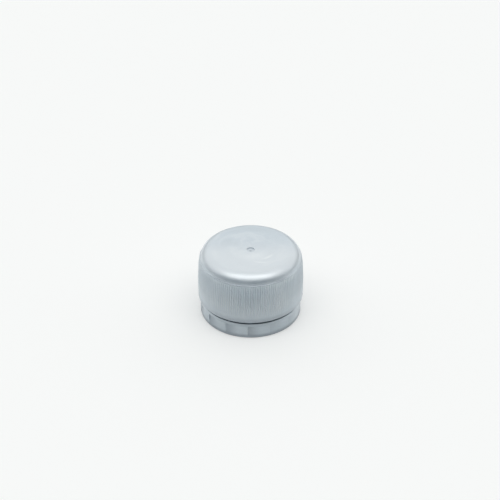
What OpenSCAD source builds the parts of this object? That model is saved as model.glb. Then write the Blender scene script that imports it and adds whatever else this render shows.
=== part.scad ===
// Screw-on bottle cap moulded as one piece.
// A softly dished top with a gate mark runs over a round shoulder and a small ledge into a ribbed grip skirt.
// Below the skirt a tamper band with saw-tooth pockets hangs on thin bridges.
// Millimetres, Z up, the origin at the centre of the band's foot.

/* [Overall] */
// Outside diameter over the grip skirt
cap_d = 30.55; // [28:0.05:34]
// Height from the band's foot to the rim of the top face
cap_h = 21; // [19:0.1:25]

/* [Top] */
// Thickness of the top at its rim
top_t = 1.6; // [1.4:0.1:2.2]
// Radius of the round shoulder
shoulder_r = 3.2; // [2.6:0.05:3.6]
// Step inward from the skirt's widest line to the shoulder
shoulder_inset = 0.635; // [0.5:0.005:0.8]
// Depth of the soft dish in the top face
dish_depth = 0.3; // [0.1:0.02:0.4]
// Radius at which the dish turns from hollow to round
dish_turn_r = 4.6; // [3:0.1:6]
// Flat rim left between the dish and the shoulder
dish_rim = 1.75; // [0.5:0.05:3]
// Diameter of the gate mark's hollow
gate_d = 2.4; // [1.8:0.1:3.6]
// Depth of the gate mark's hollow below the dish
gate_depth = 0.24; // [0.2:0.02:0.44]
// Lean of the hollow's wall
gate_lean = 0.15; // [0.05:0.01:0.3]
// Diameter of the gate stub inside the hollow
stub_d = 0.7; // [0.5:0.05:1.2]
// Height of the gate stub above the hollow's floor
stub_h = 0.14; // [0.1:0.02:0.2]

/* [Grip skirt] */
// Number of grip ribs
rib_count = 140; // [60:2:150]
// Width of the floor of the groove between two ribs
groove_w = 0.1; // [0.06:0.01:0.16]
// Angle of a groove's flanks to its middle plane
groove_angle = 40; // [30:1:45]
// Height at which the grooves start from nothing
groove_z = 7; // [6.6:0.1:9]
// Depth of the grooves at the ledge, from the skirt's widest line
groove_in = 0.56; // [0.5:0.01:0.62]
// Height above which the skirt leans inward
lean_z = 11.5; // [10:0.1:13]
// Height at which the lean grows steeper, measured down from the ledge's lip
lean_drop = 1.8; // [1:0.1:3]
// Lean inward at that height
lean_in = 0.225; // [0.1:0.005:0.3]
// Height of the ledge's lip, measured down from the top face
lip_drop = 2.8; // [2.4:0.05:3.1]
// Lean inward at the ledge's lip
lip_in = 0.475; // [0.4:0.005:0.5]
// Height of the skirt's foot above the band's foot
skirt_z = 5.75; // [5.7:0.05:6.2]
// Round at the skirt's foot
skirt_foot_r = 0.2; // [0.1:0.05:0.4]
// Wall of the skirt from its widest line to the thread root
skirt_wall = 1.375; // [1.25:0.005:1.5]

/* [Tamper band] */
// Step inward from the skirt's widest line to the band
band_inset = 0.65; // [0.55:0.05:0.9]
// Wall of the band
band_wall = 0.92; // [0.9:0.02:1.1]
// Round at the band's foot
foot_r = 0.45; // [0.15:0.05:0.5]
// Height of the slit's lower edge
slit_z = 4.88; // [4.6:0.02:5]
// Height of the slit
slit_h = 0.6; // [0.4:0.05:0.65]
// Number of bridges across the slit
bridge_count = 14; // [8:1:20]
// Width of a bridge
bridge_w = 0.6; // [0.4:0.05:1.4]
// Thickness of a bridge, measured from the band's inside
bridge_t = 0.5; // [0.4:0.05:0.6]
// Number of saw-tooth pockets around the band
tooth_count = 14; // [8:1:18]
// Height at which a pocket's floor runs out below its step
tooth_z = 0.7; // [0.5:0.05:1.2]
// Lean of the floor there
tooth_flare = 8; // [6:1:20]
// Height of the pockets' upper edge above the band's foot
tooth_top = 3.9; // [2.6:0.1:4.1]
// Depth of a pocket at its step
tooth_depth = 0.25; // [0.1:0.05:0.3]
// Share of the pitch over which a pocket runs out
tooth_share = 0.96; // [0.8:0.01:0.97]
// Turn of the first step about the cap's axis
tooth_turn = -93.7; // [-180:0.1:180]
// Height of the retaining bead inside the band
bead_z = 2.4; // [1.6:0.1:3.2]
// Reach of the bead inward from the band's inside
bead_reach = 0.24; // [0.16:0.02:0.3]

/* [Inside] */
// Step inward above the thread wall
seat_step = 0.4; // [0.3:0.05:0.7]
// Gap between thread wall and plug seal for the bottle's neck
neck_gap = 2.9; // [2.6:0.1:3.4]
// Wall of the plug seal
plug_t = 0.95; // [0.7:0.05:1.3]
// Reach of the plug seal below the inside of the top
plug_h = 2.4; // [1.6:0.1:3]
// Bevel at the plug seal's tip
plug_bevel = 0.35; // [0.2:0.05:0.4]

/* [Hidden] */
silver = [0.70, 0.74, 0.77];
facets = 72;
dish_facets = 540;
shoulder_facets = 48;
round_facets = 16;
over = 1;
cap_r = cap_d / 2;
top_r = cap_r - shoulder_inset;
shoulder_z = cap_h - shoulder_r;
lip_z = cap_h - lip_drop;
lip_r = cap_r - lip_in;
ledge_reach = 0.6;
lean_top_z = lip_z - lean_drop;
lean_r = cap_r - lean_in;
dish_r = top_r - shoulder_r - dish_rim;
dish_slope = 2 * atan(dish_depth / dish_r);
dish_z = cap_h - dish_depth;
hollow_ball_r = dish_turn_r / sin(dish_slope);
round_ball_r = (dish_r - dish_turn_r) / sin(dish_slope);
gate_r = gate_d / 2;
gate_z = dish_z - gate_depth;
rib_pitch = 360 / rib_count;
groove_depth = 0.33;
groove_fall = groove_in / (lip_z - groove_z);
groove_lean = atan(groove_fall);
groove_len = (lip_z - groove_z + 2 * over) / cos(groove_lean);
band_r = cap_r - band_inset;
band_in_r = band_r - band_wall;
bead_r = 0.4;
slit_top = slit_z + slit_h;
tooth_pitch = 360 / tooth_count;
tooth_span = tooth_share * tooth_pitch;
tooth_shift = tooth_depth / (2 * sin(tooth_span / 2));
tooth_floor_r = band_r - tooth_depth / 2;
tooth_bend = tooth_z + tooth_depth / tan(tooth_flare);
thread_r = cap_r - skirt_wall;
seat_r = thread_r - seat_step;
ceiling_z = cap_h - top_t;
seat_fillet = 0.6;
plug_r = thread_r - neck_gap;
plug_in_r = plug_r - plug_t;
plug_z = ceiling_z - plug_h;
thread_gap = 0.25;
thread_top = plug_z - thread_gap;
bore_from = (slit_z + slit_top) / 2;

// A point at a radius and an angle
function polar(r, a) = [r * cos(a), r * sin(a)];

// Half section of the outside: band and leaning skirt up to the ledge, then the round shoulder
module outside_half() {
    difference() {
        polygon([
            [0, 0],
            [band_r, 0],
            [band_r, skirt_z],
            [cap_r, skirt_z],
            [cap_r, lean_z],
            [lean_r, lean_top_z],
            [lip_r, lip_z],
            [lip_r - ledge_reach, lip_z + ledge_reach],
            [0, lip_z + ledge_reach]
        ]);
        translate([cap_r - skirt_foot_r, skirt_z + skirt_foot_r])
            mirror([0, 1])
                round_corner(skirt_foot_r);
        translate([band_r - foot_r, foot_r])
            mirror([0, 1])
                round_corner(foot_r);
    }
    difference() {
        translate([0, lean_top_z])
            square([top_r, cap_h - lean_top_z]);
        translate([top_r - shoulder_r, shoulder_z])
            round_corner(shoulder_r, shoulder_facets);
    }
}

// Region outside a quarter circle, for rounding an outer corner
module round_corner(r, n = round_facets) {
    difference() {
        square(r + over);
        circle(r, $fn = n);
    }
}

// Half section of the soft dish: a hollow arc that turns into a round one, with the gate's hollow and stub
module dish_half() {
    intersection() {
        translate([0, dish_z + hollow_ball_r])
            circle(hollow_ball_r, $fn = dish_facets);
        translate([0, dish_z - over])
            square([dish_turn_r, dish_depth + 2 * over]);
    }
    difference() {
        translate([dish_turn_r, dish_z])
            square([dish_r - dish_turn_r, dish_depth + over]);
        translate([dish_r, cap_h - round_ball_r])
            circle(round_ball_r, $fn = dish_facets);
    }
    polygon([
        [stub_d / 2, gate_z],
        [gate_r - gate_lean, gate_z],
        [gate_r, dish_z + gate_lean],
        [0, dish_z + gate_lean],
        [0, gate_z + stub_h],
        [stub_d / 2, gate_z + stub_h]
    ]);
}

// Half section of the hollow: band bore, thread wall, seat and the space around the plug seal
module hollow_half() {
    difference() {
        union() {
            translate([0, -over])
                square([band_in_r, bore_from + over]);
            translate([0, bore_from])
                square([thread_r, thread_top - bore_from]);
            polygon([
                [0, thread_top],
                [thread_r, thread_top],
                [seat_r, thread_top + seat_step],
                [seat_r, ceiling_z - seat_fillet],
                [seat_r - seat_fillet, ceiling_z],
                [0, ceiling_z]
            ]);
        }
        polygon([
            [plug_in_r, ceiling_z + over],
            [plug_in_r, plug_z],
            [plug_r - plug_bevel, plug_z],
            [plug_r, plug_z + plug_bevel],
            [plug_r, ceiling_z + over]
        ]);
        translate([band_in_r + bead_r - bead_reach, bead_z])
            circle(bead_r, $fn = round_facets);
    }
}

// Straight grooves between the grip ribs, leaning inward so that they deepen from nothing above the foot
module grooves() {
    spread = groove_w / 2 + groove_depth * tan(groove_angle);
    for (i = [0 : rib_count - 1])
        rotate([0, 0, i * rib_pitch])
            translate([cap_r + over * groove_fall, 0, groove_z - over])
                rotate([0, -groove_lean, 0])
                    linear_extrude(groove_len)
                        polygon([
                            [0, -groove_w / 2],
                            [groove_depth, -spread],
                            [groove_depth, spread],
                            [0, groove_w / 2]
                        ]);
}

// Slit around the band, left standing at the bridges
module slit() {
    difference() {
        translate([0, 0, slit_z])
            rotate_extrude($fn = facets)
                translate([band_in_r - over, 0])
                    square([band_wall + 2 * over, slit_h]);
        for (i = [0 : bridge_count - 1])
            rotate([0, 0, (i + 0.5) * 360 / bridge_count])
                translate([band_in_r - 2 * over, -bridge_w / 2, slit_z - over])
                    cube([bridge_t + 2 * over, bridge_w, slit_h + 2 * over]);
    }
}

// Saw-tooth pockets: a radial step, then a floor about an offset axis that runs out to the side and below
module pockets() {
    for (i = [0 : tooth_count - 1])
        rotate([0, 0, tooth_turn + i * tooth_pitch])
            difference() {
                linear_extrude(tooth_top)
                    polygon([
                        [0, 0],
                        polar(band_r + 2 * over, 0),
                        polar(band_r + 2 * over, tooth_span / 2),
                        polar(band_r + 2 * over, tooth_span)
                    ]);
                translate(polar(tooth_shift, tooth_span / 2 + 90))
                    rotate_extrude($fn = facets)
                        polygon([
                            [0, -over],
                            [tooth_floor_r + (tooth_bend + over) * tan(tooth_flare), -over],
                            [tooth_floor_r, tooth_bend],
                            [tooth_floor_r, tooth_top + over],
                            [0, tooth_top + over]
                        ]);
            }
}

// The whole cap
module cap() {
    color(silver)
        difference() {
            rotate_extrude($fn = facets)
                difference() {
                    outside_half();
                    hollow_half();
                    dish_half();
                }
            grooves();
            slit();
            pockets();
        }
}

cap();
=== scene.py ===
"""Looks of a silver-pigmented plastic bottle cap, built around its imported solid."""

import logging
import math
from dataclasses import dataclass, field
from enum import Enum
from typing import Any

import bmesh
import bpy
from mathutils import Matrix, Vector


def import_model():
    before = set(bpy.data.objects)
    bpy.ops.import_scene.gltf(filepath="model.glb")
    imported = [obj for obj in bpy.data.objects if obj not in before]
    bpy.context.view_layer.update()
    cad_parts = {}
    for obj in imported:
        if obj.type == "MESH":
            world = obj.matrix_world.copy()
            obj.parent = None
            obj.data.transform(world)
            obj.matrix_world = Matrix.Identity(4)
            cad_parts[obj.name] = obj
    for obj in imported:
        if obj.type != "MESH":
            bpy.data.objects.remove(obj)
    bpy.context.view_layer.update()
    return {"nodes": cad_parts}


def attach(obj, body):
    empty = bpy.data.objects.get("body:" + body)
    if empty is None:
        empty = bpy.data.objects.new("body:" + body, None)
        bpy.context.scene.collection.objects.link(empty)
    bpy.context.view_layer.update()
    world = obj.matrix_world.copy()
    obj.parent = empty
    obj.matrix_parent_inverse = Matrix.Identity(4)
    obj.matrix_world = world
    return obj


LOG = logging.getLogger("bottle_cap")
MM = 0.001
BODY = "root"
CAP_NODE = "cap"
# Numbers of ribs and pockets and the angle of one pocket's step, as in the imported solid
RIBS = 140
POCKETS = 14
POCKET_STEP = math.radians(-93.7)
HALF_PITCH = 0.5
Colour = tuple[float, float, float, float]


class Effect(Enum):
    """Shader groups that the cap's finishes share."""

    PIGMENT_FLOW = "pigment_flow"
    MOULD_GRAIN = "mould_grain"
    HANDLING_WEAR = "handling_wear"


class Graph:
    """Adds and joins the nodes of one shader tree."""

    # Places of the colour sockets on a Mix node
    MIX_FIRST = 6
    MIX_SECOND = 7
    MIX_RESULT = 2

    def __init__(self, tree: bpy.types.NodeTree) -> None:
        """Keeps the node tree of a material, a world or a group."""
        self.tree = tree

    def add(self, kind: str, **settings: Any) -> bpy.types.Node:
        """Adds a node.

        Args:
            kind: The node's class name without its ShaderNode prefix.
            **settings: Attributes set on the node.

        Returns:
            The new node.
        """
        name = kind if kind.startswith("NodeGroup") else f"ShaderNode{kind}"
        node = self.tree.nodes.new(name)
        for key, value in settings.items():
            setattr(node, key, value)
        return node

    def feed(self, target: bpy.types.NodeSocket, source: Any) -> None:
        """Joins a socket to another one, or sets its own value.

        Args:
            target: The input socket.
            source: An output socket, a number or a sequence of numbers.
        """
        if isinstance(source, bpy.types.NodeSocket):
            self.tree.links.new(source, target)
        else:
            target.default_value = source

    def math(self, operation: str, *values: Any) -> bpy.types.NodeSocket:
        """Adds a Math node.

        Args:
            operation: The node's operation, such as MULTIPLY.
            *values: Its inputs, as sockets or numbers.

        Returns:
            The node's output socket.
        """
        node = self.add("Math", operation=operation)
        for socket, value in zip(node.inputs, values):
            self.feed(socket, value)
        return node.outputs[0]

    def ramp(
        self, value: Any, low: Any, high: Any, to_low: float = 0.0, to_high: float = 1.0
    ) -> bpy.types.NodeSocket:
        """Adds a smooth Map Range node.

        Args:
            value: The input.
            low: Input at which the result is to_low.
            high: Input at which the result is to_high.
            to_low: Result at and below low.
            to_high: Result at and above high.

        Returns:
            The node's output socket.
        """
        node = self.add("MapRange", interpolation_type="SMOOTHSTEP")
        for socket, number in zip(node.inputs, (value, low, high, to_low, to_high)):
            self.feed(socket, number)
        return node.outputs[0]

    def vector(self, x: Any = 0.0, y: Any = 0.0, z: Any = 0.0) -> bpy.types.NodeSocket:
        """Adds a Combine XYZ node.

        Args:
            x: First part.
            y: Second part.
            z: Third part.

        Returns:
            The vector's socket.
        """
        node = self.add("CombineXYZ")
        for socket, value in zip(node.inputs, (x, y, z)):
            self.feed(socket, value)
        return node.outputs[0]

    def noise(self, place: Any, scale: float, detail: float = 2.0) -> bpy.types.NodeSocket:
        """Adds a Noise texture.

        Args:
            place: The coordinates.
            scale: Its scale per unit of the coordinates.
            detail: Its number of octaves.

        Returns:
            The noise's value socket.
        """
        node = self.add("TexNoise")
        self.feed(node.inputs["Vector"], place)
        self.feed(node.inputs["Scale"], scale)
        self.feed(node.inputs["Detail"], detail)
        return node.outputs[0]

    def mix(self, share: Any, first: Any, second: Any) -> bpy.types.NodeSocket:
        """Adds a colour Mix node.

        Args:
            share: How much of the second colour is taken.
            first: First colour.
            second: Second colour.

        Returns:
            The mixed colour's socket.
        """
        node = self.add("Mix", data_type="RGBA")
        self.feed(node.inputs["Factor"], share)
        self.feed(node.inputs[self.MIX_FIRST], first)
        self.feed(node.inputs[self.MIX_SECOND], second)
        return node.outputs[self.MIX_RESULT]


@dataclass(frozen=True)
class Place:
    """Coordinates of a point of the cap, as sockets."""

    x: bpy.types.NodeSocket
    y: bpy.types.NodeSocket
    z: bpy.types.NodeSocket
    radius: bpy.types.NodeSocket
    turn: bpy.types.NodeSocket

    @classmethod
    def split(cls, graph: Graph, vector: bpy.types.NodeSocket) -> "Place":
        """Splits object coordinates into straight and round ones.

        Args:
            graph: The graph to add nodes to.
            vector: Object coordinates in metres.

        Returns:
            The coordinates, with the angle about the cap's axis as turn.
        """
        parts = graph.add("SeparateXYZ")
        graph.feed(parts.inputs[0], vector)
        x, y, z = parts.outputs
        square = graph.math("ADD", graph.math("MULTIPLY", x, x), graph.math("MULTIPLY", y, y))
        return cls(x, y, z, graph.math("SQRT", square), graph.math("ARCTAN2", y, x))


@dataclass
class EffectGroups:
    """Builds each shared shader group once, at scales per metre of the cap.

    Attributes:
        arc_rise: How far the flow arcs lean out with height.
        arc_rate: How closely the arcs follow each other outwards.
        arc_scale: Scale of the arcs' noise.
        arc_octaves: Octaves of the arcs' noise.
        cloud_scale: Scale of the clouds in the pigment.
        cloud_share: Share of the clouds in the flow.
        cloud_span: Values of the clouds between which the roughness swings.
        flow_middle: Value of the flow at which the pigment is plain.
        flow_pale: Value of the flow at which the pale pigment is full.
        flow_dark: Value of the flow at which the dark pigment is full.
        flake_scale: Scale of the flakes.
        flake_octaves: Octaves of the flakes' noise.
        flake_span: Values of that noise between which a flake shows.
        rough_swing: How far the roughness swings to either side.
        grain_scale: Scale of the mould's grain.
        turning_scale: Scale of the mould's turning marks.
        turning_octaves: Octaves of the turning marks' noise.
        patch_scale: Scale of the rubbed patches.
        patch_octaves: Octaves of the patches' noise.
        patch_span: Values of that noise between which a patch shows.
        built: The groups made so far.
    """

    arc_rise: float = 0.25
    arc_rate: float = 260.0
    arc_scale: float = 1.5
    arc_octaves: float = 3.0
    cloud_scale: float = 230.0
    cloud_share: float = 0.3
    cloud_span: tuple[float, float] = (0.35, 0.65)
    flow_middle: float = 0.5
    flow_pale: float = 0.64
    flow_dark: float = 0.36
    flake_scale: float = 4200.0
    flake_octaves: float = 1.0
    flake_span: tuple[float, float] = (0.42, 0.66)
    rough_swing: float = 0.03
    grain_scale: float = 2600.0
    turning_scale: float = 2400.0
    turning_octaves: float = 1.0
    patch_scale: float = 420.0
    patch_octaves: float = 3.0
    patch_span: tuple[float, float] = (0.44, 0.66)
    built: dict[Effect, bpy.types.NodeTree] = field(default_factory=dict)

    def get(self, effect: Effect) -> bpy.types.NodeTree:
        """Gives a group, building it the first time.

        Args:
            effect: Which group.

        Returns:
            The group's node tree.
        """
        if effect not in self.built:
            builders = {
                Effect.PIGMENT_FLOW: self.pigment_flow,
                Effect.MOULD_GRAIN: self.mould_grain,
                Effect.HANDLING_WEAR: self.handling_wear,
            }
            self.built[effect] = builders[effect]()
        return self.built[effect]

    def start(
        self, effect: Effect, inputs: dict[str, str], outputs: dict[str, str]
    ) -> tuple[Graph, bpy.types.Node, bpy.types.Node]:
        """Makes an empty group with its sockets.

        Args:
            effect: Which group.
            inputs: Socket types by input name.
            outputs: Socket types by output name.

        Returns:
            The group's graph, its input node and its output node.
        """
        tree = bpy.data.node_groups.new(effect.value, "ShaderNodeTree")
        for in_out, sockets in (("INPUT", inputs), ("OUTPUT", outputs)):
            for name, kind in sockets.items():
                tree.interface.new_socket(name, in_out=in_out, socket_type=f"NodeSocket{kind}")
        graph = Graph(tree)
        return graph, graph.add("NodeGroupInput"), graph.add("NodeGroupOutput")

    def pigment_flow(self) -> bpy.types.NodeTree:
        """Clouds, flow arcs and flakes that the melt leaves in a metallic pigment.

        Returns:
            The group, with the tinted colour and the roughness as outputs.
        """
        inputs = {
            "Place": "Vector", "Body": "Color", "Pale": "Color", "Dark": "Color",
            "Flow": "Float", "Flakes": "Float", "Roughness": "Float",
        }
        outputs = {"Color": "Color", "Roughness": "Float"}
        graph, given, result = self.start(Effect.PIGMENT_FLOW, inputs, outputs)
        spot = given.outputs["Place"]
        place = Place.split(graph, spot)
        reach = graph.math("ADD", place.radius, graph.math("MULTIPLY", place.z, self.arc_rise))
        swirl = graph.vector(
            graph.math("COSINE", place.turn),
            graph.math("SINE", place.turn),
            graph.math("MULTIPLY", reach, self.arc_rate),
        )
        arcs = graph.noise(swirl, self.arc_scale, self.arc_octaves)
        clouds = graph.noise(spot, self.cloud_scale)
        flow = graph.math("MULTIPLY_ADD", graph.math("SUBTRACT", clouds, arcs), self.cloud_share, arcs)
        amount = given.outputs["Flow"]
        pale = graph.math("MULTIPLY", graph.ramp(flow, self.flow_middle, self.flow_pale), amount)
        dark = graph.math("MULTIPLY", graph.ramp(flow, self.flow_middle, self.flow_dark), amount)
        flakes = graph.ramp(graph.noise(spot, self.flake_scale, self.flake_octaves), *self.flake_span)
        colour = graph.mix(pale, given.outputs["Body"], given.outputs["Pale"])
        colour = graph.mix(dark, colour, given.outputs["Dark"])
        glint = graph.math("MULTIPLY", flakes, given.outputs["Flakes"])
        graph.feed(result.inputs["Color"], graph.mix(glint, colour, given.outputs["Pale"]))
        swing = graph.ramp(clouds, *self.cloud_span, -self.rough_swing, self.rough_swing)
        graph.feed(result.inputs["Roughness"], graph.math("ADD", given.outputs["Roughness"], swing))
        return graph.tree

    def mould_grain(self) -> bpy.types.NodeTree:
        """Fine grain of the mould's steel and its faint turning marks.

        Returns:
            The group, with a height from 0 to 1 as output.
        """
        inputs = {"Place": "Vector", "Grain": "Float", "Turning": "Float"}
        graph, given, result = self.start(Effect.MOULD_GRAIN, inputs, {"Height": "Float"})
        place = Place.split(graph, given.outputs["Place"])
        grain = graph.noise(given.outputs["Place"], self.grain_scale)
        rings = graph.vector(graph.math("ADD", place.radius, place.z))
        turned = graph.noise(rings, self.turning_scale, self.turning_octaves)
        height = graph.math(
            "ADD",
            graph.math("MULTIPLY", grain, given.outputs["Grain"]),
            graph.math("MULTIPLY", turned, given.outputs["Turning"]),
        )
        graph.feed(result.inputs["Height"], height)
        return graph.tree

    def handling_wear(self) -> bpy.types.NodeTree:
        """Rubbing where fingers and other caps touch, between two radii.

        Returns:
            The group, with a mask from 0 to 1 as output.
        """
        inputs = {"Place": "Vector", "From Radius": "Float", "To Radius": "Float", "Amount": "Float"}
        graph, given, result = self.start(Effect.HANDLING_WEAR, inputs, {"Mask": "Float"})
        place = Place.split(graph, given.outputs["Place"])
        band = graph.ramp(place.radius, given.outputs["From Radius"], given.outputs["To Radius"])
        rubs = graph.noise(given.outputs["Place"], self.patch_scale, self.patch_octaves)
        patches = graph.ramp(rubs, *self.patch_span)
        mask = graph.math("MULTIPLY", band, patches)
        graph.feed(result.inputs["Mask"], graph.math("MULTIPLY", mask, given.outputs["Amount"]))
        return graph.tree


@dataclass(frozen=True)
class PaintedHighlight:
    """A painted highlight in a pale streak on the top face, bending about the gate.

    Attributes:
        radius: Distance of its middle from the cap's axis.
        turn: Angle of its middle about the axis.
        drift: How far it moves out per radian of turn.
        width: Distance to either side at which it has faded.
        reach: Angle to either end at which it has faded.
        strength: Its share at the middle, from 0 to 1.
    """

    radius: float
    turn: float
    drift: float
    width: float
    reach: float
    strength: float

    def mask(self, graph: Graph, place: Place) -> bpy.types.NodeSocket:
        """Marks the streak.

        Args:
            graph: The material's graph.
            place: Coordinates on the cap.

        Returns:
            A mask's socket, from 0 to the streak's strength.
        """
        along = graph.math("SUBTRACT", place.turn, self.turn)
        path = graph.math("MULTIPLY_ADD", along, self.drift, self.radius)
        across = graph.math("ABSOLUTE", graph.math("SUBTRACT", place.radius, path))
        side = graph.ramp(across, self.width, 0.0)
        ends = graph.ramp(graph.math("ABSOLUTE", along), self.reach, 0.0, 0.0, self.strength)
        return graph.math("MULTIPLY", side, ends)


@dataclass(frozen=True)
class EdgeShade:
    """A ring of painted shade between two heights.

    Attributes:
        low: Height from which it is full.
        high: Height up to which it is full.
        fade: Height over which it fades, below and above.
        strength: Its full share, from 0 to 1.
    """

    low: float
    high: float
    fade: float
    strength: float

    def mask(self, graph: Graph, place: Place) -> bpy.types.NodeSocket:
        """Marks the ring.

        Args:
            graph: The material's graph.
            place: Coordinates on the cap.

        Returns:
            A mask's socket, from 0 to the shade's strength.
        """
        above = graph.ramp(place.z, self.low - self.fade, self.low)
        below = graph.ramp(place.z, self.high + self.fade, self.high, 0.0, self.strength)
        return graph.math("MULTIPLY", above, below)


@dataclass(frozen=True)
class FrontShade:
    """A ring of painted shade that grows from nothing towards the cap's front.

    Attributes:
        ring: The shade's heights and strength.
        back: Place along y at which it starts.
        front: Place along y at which it is full.
    """

    ring: EdgeShade
    back: float
    front: float

    def mask(self, graph: Graph, place: Place) -> bpy.types.NodeSocket:
        """Marks the shade, as a socket from 0 to the ring's strength."""
        ahead = graph.ramp(place.y, self.back, self.front)
        return graph.math("MULTIPLY", ahead, self.ring.mask(graph, place))


@dataclass(frozen=True)
class GateShade:
    """Painted shade in the small hollow that the gate left at the middle of the top face.

    Attributes:
        radius: Distance from the cap's axis up to which it is full.
        fade: Distance over which it fades from there.
        strength: Its full share, from 0 to 1.
    """

    radius: float
    fade: float
    strength: float

    def mask(self, graph: Graph, place: Place) -> bpy.types.NodeSocket:
        """Marks the hollow, as a socket from 0 to the shade's strength."""
        return graph.ramp(place.radius, self.radius + self.fade, self.radius, 0.0, self.strength)


@dataclass(frozen=True)
class PocketShade:
    """Painted shade that fades along each saw-tooth pocket from its step, and is lighter on one side.

    Attributes:
        ring: The shade's heights and strength.
        count: Number of pockets.
        first_step: Angle of one pocket's step.
        gap: Angle between a step and the start of its shade.
        share: Share of a pocket's length over which the shade fades.
        heavy_side: Place along x up to which it is full.
        light_side: Place along x from which it is light.
        light_share: Share of it that is left there.
    """

    ring: EdgeShade
    count: int
    first_step: float
    gap: float
    share: float
    heavy_side: float
    light_side: float
    light_share: float

    def mask(self, graph: Graph, place: Place) -> bpy.types.NodeSocket:
        """Marks the shade.

        Args:
            graph: The material's graph.
            place: Coordinates on the cap.

        Returns:
            A mask's socket, from 0 to the ring's strength.
        """
        past = graph.math("SUBTRACT", place.turn, self.first_step + self.gap)
        phase = graph.math("FRACT", graph.math("MULTIPLY", past, self.count / math.tau))
        fading = graph.math("MULTIPLY", graph.ramp(phase, self.share, 0.0), self.ring.mask(graph, place))
        lopsided = graph.ramp(place.x, self.heavy_side, self.light_side, 1.0, self.light_share)
        return graph.math("MULTIPLY", fading, lopsided)


@dataclass(frozen=True)
class PaintedLightLines:
    """Painted light along upright lines that are spaced evenly about the cap.

    Attributes:
        count: Number of lines.
        first: Angle of one of them.
        half_width: Share of the pitch at which a line has faded to either side.
        start: Height at which the lines start.
        full_from: Height from which they are full.
        full_to: Height up to which they are full.
        end: Height at which they have faded.
        strength: Their full share, from 0 to 1.
    """

    count: int
    first: float
    half_width: float
    start: float
    full_from: float
    full_to: float
    end: float
    strength: float

    def mask(self, graph: Graph, place: Place) -> bpy.types.NodeSocket:
        """Marks the lines.

        Args:
            graph: The material's graph.
            place: Coordinates on the cap.

        Returns:
            A mask's socket, from 0 to the sheen's strength.
        """
        past = graph.math("SUBTRACT", place.turn, self.first)
        pitches = graph.math("MULTIPLY", past, self.count / math.tau)
        across = graph.ramp(graph.math("PINGPONG", pitches, HALF_PITCH), self.half_width, 0.0)
        rising = graph.ramp(place.z, self.start, self.full_from)
        falling = graph.ramp(place.z, self.end, self.full_to, 0.0, self.strength)
        return graph.math("MULTIPLY", across, graph.math("MULTIPLY", rising, falling))


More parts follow.
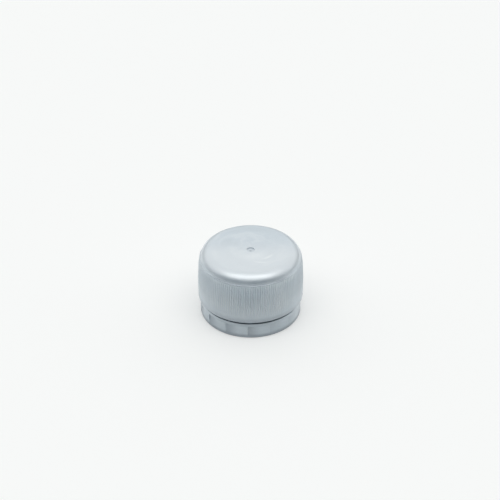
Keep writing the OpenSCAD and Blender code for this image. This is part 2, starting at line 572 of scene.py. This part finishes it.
@dataclass(frozen=True)
class PigmentedPlastic:
    """Finish of plastic coloured with a silver pigment, under a smooth skin.

    Attributes:
        name: The material's name.
        wear_from: Distance from the cap's axis at which rubbing starts.
        wear_to: Distance from the cap's axis at which rubbing is full.
        body: Colour of the plain pigment.
        pale: Colour of the pale pigment, of rubbed places, and of the painted highlights and painted
            light.
        dark: Colour of the dark pigment.
        painted_top_light: Colour of the painted light on the front of the top face.
        shade: Colour of the painted shade.
        metallic: How metallic the pigment is.
        roughness: Roughness of the plastic.
        skin: Weight of the smooth skin over it.
        skin_roughness: Roughness of that skin.
        flow: Strength of the pigment's flow.
        flakes: Strength of the flakes.
        grain: Height of the mould's grain.
        turning: Height of the mould's turning marks.
        wear: Strength of the rubbing.
        scuff: Roughness that rubbing adds.
        bump_depth: Depth of the grain and the turning marks.
        bump_strength: Strength of their bump.
        streaks: Painted highlights in streaks on the top face.
        crown_share: Full share of the painted light on the top face.
        crown_back: Place along y at which that colour starts.
        crown_front: Place along y at which it is full.
        crown_from: Height at which it starts.
        crown_to: Height at which it is full.
        sheens: Painted light in lines on the skirt and the band.
        shades: Painted shade.
    """

    name: str
    wear_from: float
    wear_to: float
    body: Colour = (0.63, 0.705, 0.762, 1.0)
    pale: Colour = (0.83, 0.88, 0.905, 1.0)
    dark: Colour = (0.53, 0.60, 0.645, 1.0)
    painted_top_light: Colour = (0.785, 0.83, 0.86, 1.0)
    shade: Colour = (0.30, 0.35, 0.40, 1.0)
    metallic: float = 0.5
    roughness: float = 0.42
    skin: float = 0.6
    skin_roughness: float = 0.16
    flow: float = 0.3
    flakes: float = 0.08
    grain: float = 0.6
    turning: float = 0.2
    wear: float = 0.15
    scuff: float = 0.08
    bump_depth: float = 0.01 * MM
    bump_strength: float = 0.3
    streaks: tuple[PaintedHighlight, ...] = ()
    crown_share: float = 0.65
    crown_back: float = 7.0 * MM
    crown_front: float = -4.0 * MM
    crown_from: float = 18.6 * MM
    crown_to: float = 20.6 * MM
    sheens: tuple[PaintedLightLines, ...] = ()
    shades: tuple[EdgeShade | FrontShade | GateShade | PocketShade, ...] = ()

    def build(self, groups: EffectGroups) -> bpy.types.Material:
        """Makes the material.

        Args:
            groups: The shared shader groups.

        Returns:
            The new material.
        """
        material = bpy.data.materials.new(self.name)
        material.use_nodes = True
        graph = Graph(material.node_tree)
        shader = material.node_tree.nodes["Principled BSDF"]
        spot = graph.add("TexCoord").outputs["Object"]
        flow = self.group(graph, groups, Effect.PIGMENT_FLOW, {
            "Place": spot, "Body": self.body, "Pale": self.pale, "Dark": self.dark,
            "Flow": self.flow, "Flakes": self.flakes, "Roughness": self.roughness,
        })
        wear = self.group(graph, groups, Effect.HANDLING_WEAR, {
            "Place": spot, "From Radius": self.wear_from, "To Radius": self.wear_to, "Amount": self.wear,
        })
        grain = self.group(graph, groups, Effect.MOULD_GRAIN, {
            "Place": spot, "Grain": self.grain, "Turning": self.turning,
        })
        colour = graph.mix(wear.outputs["Mask"], flow.outputs["Color"], self.pale)
        graph.feed(shader.inputs["Base Color"], self.marked(graph, Place.split(graph, spot), colour))
        rubbed = graph.math("MULTIPLY_ADD", wear.outputs["Mask"], self.scuff, flow.outputs["Roughness"])
        graph.feed(shader.inputs["Roughness"], rubbed)
        shader.inputs["Metallic"].default_value = self.metallic
        shader.inputs["Coat Weight"].default_value = self.skin
        shader.inputs["Coat Roughness"].default_value = self.skin_roughness
        bump = graph.add("Bump")
        bump.inputs["Strength"].default_value = self.bump_strength
        bump.inputs["Distance"].default_value = self.bump_depth
        graph.feed(bump.inputs["Height"], grain.outputs["Height"])
        graph.feed(shader.inputs["Normal"], bump.outputs["Normal"])
        return material

    def marked(self, graph: Graph, place: Place, colour: Any) -> bpy.types.NodeSocket:
        """Lays the painted light on the front of the top face, the painted highlights, the painted light
        along lines and the painted shade over a colour.

        Args:
            graph: The material's graph.
            place: Coordinates on the cap.
            colour: The colour below the marks.

        Returns:
            The marked colour's socket.
        """
        # Painted light: the top face is paler towards its front
        on_top = graph.ramp(place.z, self.crown_from, self.crown_to)
        ahead = graph.ramp(place.y, self.crown_back, self.crown_front, 0.0, self.crown_share)
        colour = graph.mix(graph.math("MULTIPLY", on_top, ahead), colour, self.painted_top_light)
        # Painted highlights on the top face
        for streak in self.streaks:
            share = graph.math("MULTIPLY", streak.mask(graph, place), on_top)
            colour = graph.mix(share, colour, self.pale)
        # Painted light along upright lines
        for sheen in self.sheens:
            colour = graph.mix(sheen.mask(graph, place), colour, self.pale)
        # Painted shade
        for shade in self.shades:
            colour = graph.mix(shade.mask(graph, place), colour, self.shade)
        return colour

    @staticmethod
    def group(
        graph: Graph, groups: EffectGroups, effect: Effect, values: dict[str, Any]
    ) -> bpy.types.Node:
        """Places a shared group in a material.

        Args:
            graph: The material's graph.
            groups: The shared shader groups.
            effect: Which group.
            values: Its inputs, as sockets or values.

        Returns:
            The group's node.
        """
        node = graph.add("Group", node_tree=groups.get(effect))
        for name, value in values.items():
            graph.feed(node.inputs[name], value)
        return node


@dataclass
class CapShell:
    """The moulded cap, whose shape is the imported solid."""

    finish: PigmentedPlastic = PigmentedPlastic(
        name="silver_plastic_outside",
        wear_from=15.05 * MM,
        wear_to=15.25 * MM,
        streaks=(
            # Painted light over the top face in front of the gate
            PaintedHighlight(
                radius=3.6 * MM,
                turn=math.radians(-80.0),
                drift=0.0,
                width=3.2 * MM,
                reach=math.radians(95.0),
                strength=0.55,
            ),
            # Two thin painted highlights arching over the front of the top face
            PaintedHighlight(
                radius=6.4 * MM,
                turn=math.radians(-40.0),
                drift=1.37 * MM,
                width=0.75 * MM,
                reach=math.radians(26.0),
                strength=1.0,
            ),
            PaintedHighlight(
                radius=7.2 * MM,
                turn=math.radians(-68.0),
                drift=4.0 * MM,
                width=0.7 * MM,
                reach=math.radians(22.0),
                strength=0.8,
            ),
        ),
        sheens=(
            # Painted light in the lower halves of the grooves between the ribs, against their shade
            PaintedLightLines(
                count=RIBS,
                first=0.0,
                half_width=0.32,
                start=7.0 * MM,
                full_from=10.0 * MM,
                full_to=11.5 * MM,
                end=15.5 * MM,
                strength=0.8,
            ),
            # Painted light on the steps of the pockets, against their shade
            PaintedLightLines(
                count=POCKETS,
                first=POCKET_STEP,
                half_width=0.008,
                start=0.5 * MM,
                full_from=1.0 * MM,
                full_to=3.8 * MM,
                end=4.0 * MM,
                strength=0.9,
            ),
        ),
        shades=(
            # Painted shade in the gate's hollow
            GateShade(radius=1.0 * MM, fade=0.4 * MM, strength=0.17),
            # Painted shade on the lower shoulder, in front
            FrontShade(
                ring=EdgeShade(low=18.6 * MM, high=19.3 * MM, fade=0.5 * MM, strength=0.1),
                back=-8.0 * MM,
                front=-13.0 * MM,
            ),
            # Painted shade on the ledge above the ribs, in front
            FrontShade(
                ring=EdgeShade(low=18.15 * MM, high=18.45 * MM, fade=0.15 * MM, strength=0.6),
                back=-8.0 * MM,
                front=-12.5 * MM,
            ),
            # Painted shade on the middle of the skirt, in front
            FrontShade(
                ring=EdgeShade(low=8.5 * MM, high=13.5 * MM, fade=2.5 * MM, strength=0.13),
                back=-8.0 * MM,
                front=-14.0 * MM,
            ),
            # Painted shade on the foot of the skirt, all round and once more in front
            EdgeShade(low=5.7 * MM, high=6.3 * MM, fade=1.5 * MM, strength=0.24),
            FrontShade(
                ring=EdgeShade(low=5.7 * MM, high=6.3 * MM, fade=1.5 * MM, strength=0.32),
                back=-9.0 * MM,
                front=-15.0 * MM,
            ),
            # Painted shade on the top of the band, in front, below the slit
            FrontShade(
                ring=EdgeShade(low=4.0 * MM, high=4.9 * MM, fade=0.3 * MM, strength=0.2),
                back=-8.0 * MM,
                front=-13.0 * MM,
            ),
            # Painted shade on the foot of the band, by the table
            EdgeShade(low=-0.1 * MM, high=0.5 * MM, fade=1.2 * MM, strength=0.7),
            # Painted shade in the saw-tooth pockets, heavier on one side
            PocketShade(
                ring=EdgeShade(low=1.0 * MM, high=3.8 * MM, fade=0.4 * MM, strength=0.58),
                count=POCKETS,
                first_step=POCKET_STEP,
                gap=math.radians(0.4),
                share=0.65,
                heavy_side=2.0 * MM,
                light_side=6.0 * MM,
                light_share=0.4,
            ),
        ),
    )

    def dress(self, node: bpy.types.Object, groups: EffectGroups) -> bpy.types.Object:
        """Gives the solid its finish.

        Args:
            node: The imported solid's object.
            groups: The shared shader groups.

        Returns:
            The same object.
        """
        material = self.finish.build(groups)
        if not node.material_slots:
            node.data.materials.append(material)
        for slot in node.material_slots:
            slot.material = material
        return node


@dataclass
class ThreadRidge:
    """Right-hand thread inside the skirt, broken by vent slots.

    Attributes:
        name: The piece's name.
        wall_radius: Inside radius of the wall that carries it.
        root_lap: How far its root lies in the wall.
        height: Height of its crest over the wall.
        foot_width: Its width at the wall.
        crest_width: Width of its crest.
        pitch: Its rise in one turn.
        start_height: Height at which it starts.
        start_turn: Angle at which it starts.
        segments: Number of segments between vents.
        segment_span: Angle of one segment.
        vent_span: Angle of one vent.
        taper_span: Angle over which the ends of a segment taper.
        least_rise: Share of the height that is left at the very ends.
        step: Angle between two cross-sections.
        profile_points: Number of points across the ridge.
        finish: The ridge's finish.
    """

    name: str = "thread_ridge"
    wall_radius: float = 13.9 * MM
    root_lap: float = 0.08 * MM
    height: float = 1.05 * MM
    foot_width: float = 1.9 * MM
    crest_width: float = 0.8 * MM
    pitch: float = 3.18 * MM
    start_height: float = 7.4 * MM
    start_turn: float = math.radians(20.0)
    segments: int = 11
    segment_span: float = math.radians(52.0)
    vent_span: float = math.radians(7.0)
    taper_span: float = math.radians(5.0)
    least_rise: float = 0.04
    step: float = math.radians(1.5)
    profile_points: int = 9
    finish: PigmentedPlastic = PigmentedPlastic(
        name="silver_plastic_thread",
        wear_from=13.2 * MM,
        wear_to=12.8 * MM,
    )

    def section(self, rise: float) -> list[tuple[float, float]]:
        """Cross-section of the ridge.

        Args:
            rise: Share of the full height, from 0 to 1.

        Returns:
            Points as radius and height about the helix, from foot to foot.
        """
        half_foot = self.foot_width / 2
        half_crest = self.crest_width / 2
        outer = self.wall_radius + self.root_lap
        points = [(outer, -half_foot)]
        for i in range(self.profile_points):
            offset = -half_foot + self.foot_width * i / (self.profile_points - 1)
            fall = max(0.0, abs(offset) - half_crest) / (half_foot - half_crest)
            lift = 0.5 + 0.5 * math.cos(math.pi * fall)
            points.append((self.wall_radius - rise * self.height * lift, offset))
        points.append((outer, half_foot))
        return points

    def rise(self, into: float) -> float:
        """Share of the full height at an angle into a segment.

        Args:
            into: Angle from the segment's start.

        Returns:
            The share, tapering at both ends.
        """
        edge = min(into, self.segment_span - into)
        share = min(1.0, max(0.0, edge / self.taper_span))
        return self.least_rise + (1.0 - self.least_rise) * math.sin(share * math.pi / 2)

    def build(self) -> bpy.types.Object:
        """Builds the ridge as one mesh of closed segments.

        Returns:
            The new object.
        """
        mesh = bmesh.new()
        steps = round(self.segment_span / self.step)
        for k in range(self.segments):
            first = k * (self.segment_span + self.vent_span)
            rings = []
            for i in range(steps + 1):
                into = self.segment_span * i / steps
                turn = first + into
                level = self.start_height + self.pitch * turn / math.tau
                angle = self.start_turn + turn
                rings.append([
                    mesh.verts.new((r * math.cos(angle), r * math.sin(angle), level + up))
                    for r, up in self.section(self.rise(into))
                ])
            self.skin(mesh, rings)
        bmesh.ops.recalc_face_normals(mesh, faces=mesh.faces)
        data = bpy.data.meshes.new(self.name)
        mesh.to_mesh(data)
        mesh.free()
        for face in data.polygons:
            face.use_smooth = True
        ridge = bpy.data.objects.new(self.name, data)
        bpy.context.scene.collection.objects.link(ridge)
        return ridge

    @staticmethod
    def skin(mesh: bmesh.types.BMesh, rings: list[list[bmesh.types.BMVert]]) -> None:
        """Joins rings of points into a closed tube.

        Args:
            mesh: The mesh to add faces to.
            rings: Rings of as many points each, in order.
        """
        count = len(rings[0])
        for near, far in zip(rings[:-1], rings[1:]):
            for i in range(count):
                j = (i + 1) % count
                mesh.faces.new((near[i], near[j], far[j], far[i]))
        mesh.faces.new(rings[0])
        mesh.faces.new(rings[-1])

    def dress(self, ridge: bpy.types.Object, groups: EffectGroups) -> bpy.types.Object:
        """Gives the ridge its finish and fixes it to the cap.

        Args:
            ridge: The ridge's object.
            groups: The shared shader groups.

        Returns:
            The same object.
        """
        ridge.data.materials.append(self.finish.build(groups))
        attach(ridge, BODY)
        return ridge


@dataclass(frozen=True)
class VeiledTop:
    """Matt finish of the table, paler where it is seen than in the light it throws back.

    Attributes:
        shown: Colour to the camera.
        mirrored_front: Colour in reflections, in front of the cap, darker there as painted shade.
        mirrored_back: Colour in reflections, behind the cap.
        front_edge: Place along y up to which mirrored_front holds.
        back_edge: Place along y from which mirrored_back holds.
        bounced: Colour for the light that it throws back.
        roughness: Its roughness.
        gloss: Its specular level.
        veil: Share of an even light over what is seen of it.
        veil_colour: Colour of that light.
        foot_inside: Distance from the cap's axis up to which there is no veil.
        foot_outside: Distance from the cap's axis from which the veil is full.
    """

    shown: Colour = (0.97, 0.98, 0.975, 1.0)
    mirrored_front: Colour = (0.775, 0.78, 0.765, 1.0)
    mirrored_back: Colour = (0.98, 0.99, 0.99, 1.0)
    front_edge: float = -20.0 * MM
    back_edge: float = 3.0 * MM
    bounced: Colour = (0.62, 0.625, 0.625, 1.0)
    roughness: float = 0.9
    gloss: float = 0.1
    veil: float = 0.35
    veil_colour: Colour = (0.935, 0.95, 0.945, 1.0)
    foot_inside: float = 13.8 * MM
    foot_outside: float = 14.2 * MM

    def build(self) -> bpy.types.Material:
        """Makes the material.

        Returns:
            The new material.
        """
        material = bpy.data.materials.new("pale_table")
        material.use_nodes = True
        graph = Graph(material.node_tree)
        shader = material.node_tree.nodes["Principled BSDF"]
        path = graph.add("LightPath")
        seen = path.outputs["Is Camera Ray"]
        place = Place.split(graph, graph.add("TexCoord").outputs["Object"])
        # Painted shade: in reflections the table is darker in front of the cap than behind it
        behind = graph.ramp(place.y, self.front_edge, self.back_edge)
        mirrored = graph.mix(behind, self.mirrored_front, self.mirrored_back)
        thrown = graph.mix(path.outputs["Is Glossy Ray"], self.bounced, mirrored)
        graph.feed(shader.inputs["Base Color"], graph.mix(seen, thrown, self.shown))
        shader.inputs["Roughness"].default_value = self.roughness
        shader.inputs["Specular IOR Level"].default_value = self.gloss
        veil = graph.add("Emission")
        graph.feed(veil.inputs["Color"], self.veil_colour)
        blend = graph.add("MixShader")
        outside = graph.ramp(place.radius, self.foot_inside, self.foot_outside, 0.0, self.veil)
        graph.feed(blend.inputs[0], graph.math("MULTIPLY", seen, outside))
        graph.feed(blend.inputs[1], shader.outputs[0])
        graph.feed(blend.inputs[2], veil.outputs[0])
        graph.feed(material.node_tree.nodes["Material Output"].inputs["Surface"], blend.outputs[0])
        return material


@dataclass
class PaleTable:
    """Wide table that the cap stands on.

    Attributes:
        size: Length of its sides.
        finish: The table's finish.
    """

    size: float = 30.0
    finish: VeiledTop = VeiledTop()

    def build(self) -> bpy.types.Object:
        """Lays the table.

        Returns:
            The table's object.
        """
        half = self.size / 2
        data = bpy.data.meshes.new("table")
        corners = [(-half, -half, 0), (half, -half, 0), (half, half, 0), (-half, half, 0)]
        data.from_pydata(corners, [], [(0, 1, 2, 3)])
        data.materials.append(self.finish.build())
        table = bpy.data.objects.new("table", data)
        bpy.context.scene.collection.objects.link(table)
        return table


@dataclass
class LightTent:
    """Soft studio light: a wide lamp overhead, pale walls at the sides and back, a dim cool front.

    Places are parts of the unit vector that points to them.

    Attributes:
        lamp_tint: Colour of the lamp.
        wall_tint: Colour of the walls.
        front_tint: Colour of the front.
        front: Strength of the front.
        lamp: Strength of the lamp.
        lamp_forward: How far the lamp's middle lies to the front.
        lamp_width: Half its width.
        lamp_depth: Half its depth.
        lamp_core: Share of its size up to which it is full.
        lamp_edge: Share of its size at which it ends.
        wall: Strength of the walls.
        wall_from: Place along y at which the walls start.
        wall_to: Place along y from which they are full.
        crest_share: Share of their strength at the top.
        crest_from: Height at which they start to dim.
        crest_to: Height from which they are at that share.
        foot_share: Share of their strength at the table.
        foot_height: Height from which they are full.
    """

    lamp_tint: Colour = (1.0, 0.975, 0.94, 1.0)
    wall_tint: Colour = (0.99, 1.0, 1.0, 1.0)
    front_tint: Colour = (0.0, 0.5, 1.0, 1.0)
    front: float = 0.06
    lamp: float = 1.77
    lamp_forward: float = 0.3
    lamp_width: float = 0.68
    lamp_depth: float = 0.36
    lamp_core: float = 0.7
    lamp_edge: float = 1.3
    wall: float = 0.98
    wall_from: float = -0.5
    wall_to: float = 0.05
    crest_share: float = 0.8
    crest_from: float = 0.45
    crest_to: float = 0.78
    foot_share: float = 0.1
    foot_height: float = 0.4

    def build(self) -> bpy.types.World:
        """Makes the light as a world.

        Returns:
            The new world.
        """
        world = bpy.data.worlds.new("light_tent")
        bpy.context.scene.world = world
        world.use_nodes = True
        world.node_tree.nodes.clear()
        graph = Graph(world.node_tree)
        parts = graph.add("SeparateXYZ")
        graph.feed(parts.inputs[0], graph.add("TexCoord").outputs["Generated"])
        x, y, z = parts.outputs
        across = graph.math("DIVIDE", x, self.lamp_width)
        ahead = graph.math("DIVIDE", graph.math("ADD", y, self.lamp_forward), self.lamp_depth)
        off_square = graph.math("MULTIPLY_ADD", across, across, graph.math("MULTIPLY", ahead, ahead))
        off = graph.math("SQRT", off_square)
        lamp = graph.ramp(off, self.lamp_edge, self.lamp_core, 0.0, self.lamp)
        walls = graph.ramp(y, self.wall_from, self.wall_to, 0.0, self.wall)
        crest = graph.ramp(z, self.crest_from, self.crest_to, 1.0, self.crest_share)
        foot = graph.ramp(z, 0.0, self.foot_height, self.foot_share, 1.0)
        walls = graph.math("MULTIPLY", graph.math("MULTIPLY", walls, crest), foot)
        front = graph.ramp(y, self.wall_to, self.wall_from, 0.0, self.front)
        light = self.glow(graph, self.lamp_tint, lamp)
        for tint, strength in ((self.wall_tint, walls), (self.front_tint, front)):
            both = graph.add("AddShader")
            graph.feed(both.inputs[0], light)
            graph.feed(both.inputs[1], self.glow(graph, tint, strength))
            light = both.outputs[0]
        graph.feed(graph.add("OutputWorld").inputs["Surface"], light)
        return world

    @staticmethod
    def glow(graph: Graph, tint: Colour, strength: bpy.types.NodeSocket) -> bpy.types.NodeSocket:
        """Adds one source of light.

        Args:
            graph: The world's graph.
            tint: The light's colour.
            strength: Its strength by direction.

        Returns:
            The light's shader socket.
        """
        node = graph.add("Background")
        graph.feed(node.inputs["Color"], tint)
        graph.feed(node.inputs["Strength"], strength)
        return node.outputs[0]


@dataclass
class PhotoView:
    """Camera at the photograph's viewing angle.

    Attributes:
        frame_px: Width of the frame, in pixels.
        sensor: Width of the sensor, in millimetres.
        focal_px: Focal length, in pixels.
        distance: Distance from the camera to its aim, a point on the cap's axis.
        elevation: Angle of the view above the table.
        aim_height: Height of the aim.
        aim_px: Where the aim lies in the frame, in pixels.
        nearest: Distance from which things are drawn.
    """

    frame_px: float = 500.0
    sensor: float = 36.0
    focal_px: float = 1546.2
    distance: float = 450.0 * MM
    elevation: float = math.radians(35.49)
    aim_height: float = 10.0 * MM
    aim_px: tuple[float, float] = (250.68, 280.05)
    nearest: float = 10.0 * MM

    def build(self) -> bpy.types.Object:
        """Sets the camera up.

        Returns:
            The camera's object.
        """
        aim = Vector((0.0, 0.0, self.aim_height))
        back = Vector((0.0, -math.cos(self.elevation), math.sin(self.elevation)))
        up = Vector((0.0, math.sin(self.elevation), math.cos(self.elevation)))
        per_px = self.distance / self.focal_px
        right_off = (self.frame_px / 2 - self.aim_px[0]) * per_px
        up_off = (self.aim_px[1] - self.frame_px / 2) * per_px
        target = aim + Vector((right_off, 0.0, 0.0)) + up * up_off
        data = bpy.data.cameras.new("camera")
        data.sensor_width = self.sensor
        data.lens = self.focal_px / self.frame_px * self.sensor
        data.clip_start = self.nearest
        camera = bpy.data.objects.new("camera", data)
        camera.location = aim + back * self.distance
        camera.rotation_euler = (target - camera.location).to_track_quat("-Z", "Y").to_euler()
        bpy.context.scene.collection.objects.link(camera)
        bpy.context.scene.camera = camera
        return camera


def main() -> None:
    """Builds the cap's looks and the studio, and reports each piece."""
    logging.basicConfig(level=logging.INFO, format="%(name)s: %(message)s")
    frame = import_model()
    bpy.context.scene.view_settings.view_transform = "Standard"
    groups = EffectGroups()
    shell = CapShell()
    LOG.info("dressed %s", shell.dress(frame["nodes"][CAP_NODE], groups).name)
    thread = ThreadRidge()
    LOG.info("built %s", thread.dress(thread.build(), groups).name)
    for setting in (PaleTable(), LightTent(), PhotoView()):
        LOG.info("set up %s", setting.build().name)


if __name__ == "__main__":
    main()
